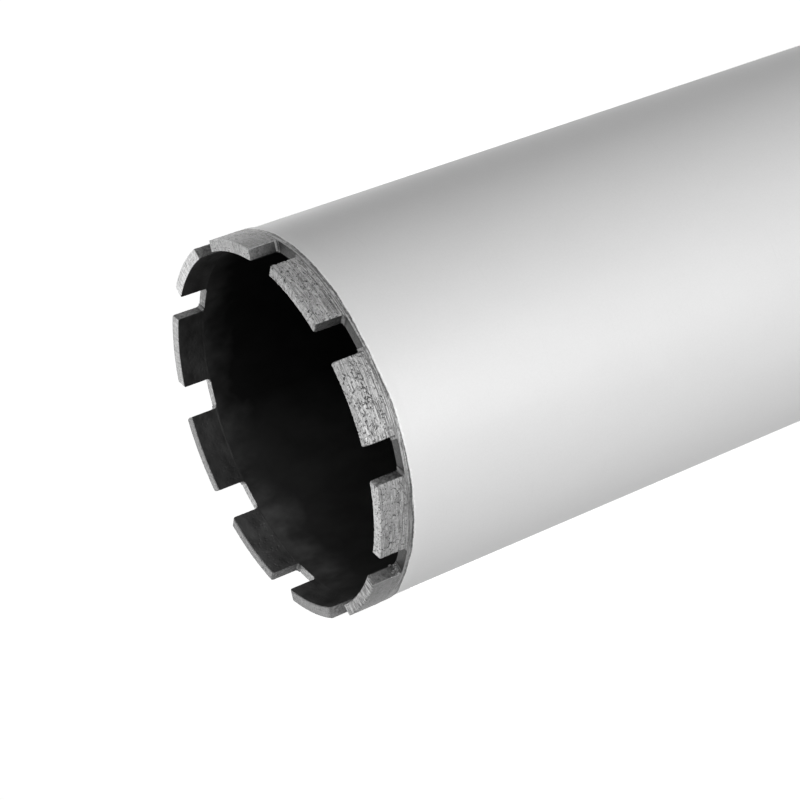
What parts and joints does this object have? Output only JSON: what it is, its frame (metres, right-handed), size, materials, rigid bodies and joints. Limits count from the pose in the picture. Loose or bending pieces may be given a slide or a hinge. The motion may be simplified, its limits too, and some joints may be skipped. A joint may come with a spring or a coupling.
{
  "type": "diamond core bit",
  "caption": "Hollow wet-drilling core bit: a steel tube with brazed diamond segments round its open end and a threaded hub welded into the other.",
  "frame": {"origin": "centre of the hub's seating face, on which the bit stands", "axes": "+Z along the axis from the hub to the crown, +X through the middle of segment_01, +Y by the right hand rule"},
  "size_m": [0.114, 0.1138, 0.4022],
  "materials": {
    "paint": "satin silver metallic paint on the outside, dark and unpainted inside the tube, ground bare at the crown",
    "turned_steel": "turned and milled, bare and lightly oiled",
    "sintered_metal": "sintered metal bond with diamond grit, ground along the arc, with dark pits and scratches",
    "braze_metal": "solidified braze, dull, with small bright runs"
  },
  "bodies": {
    "root": {"barrel": "paint", "end_plate": "paint", "barrel_weld": "paint", "hub": "turned_steel", "hub_weld": "paint", "segment_01": "sintered_metal", "segment_02": "sintered_metal", "segment_03": "sintered_metal", "segment_04": "sintered_metal", "segment_05": "sintered_metal", "segment_06": "sintered_metal", "segment_07": "sintered_metal", "segment_08": "sintered_metal", "segment_09": "sintered_metal", "segment_10": "sintered_metal", "braze_01": "braze_metal", "braze_02": "braze_metal", "braze_03": "braze_metal", "braze_04": "braze_metal", "braze_05": "braze_metal", "braze_06": "braze_metal", "braze_07": "braze_metal", "braze_08": "braze_metal", "braze_09": "braze_metal", "braze_10": "braze_metal"}
  },
  "joints": []
}
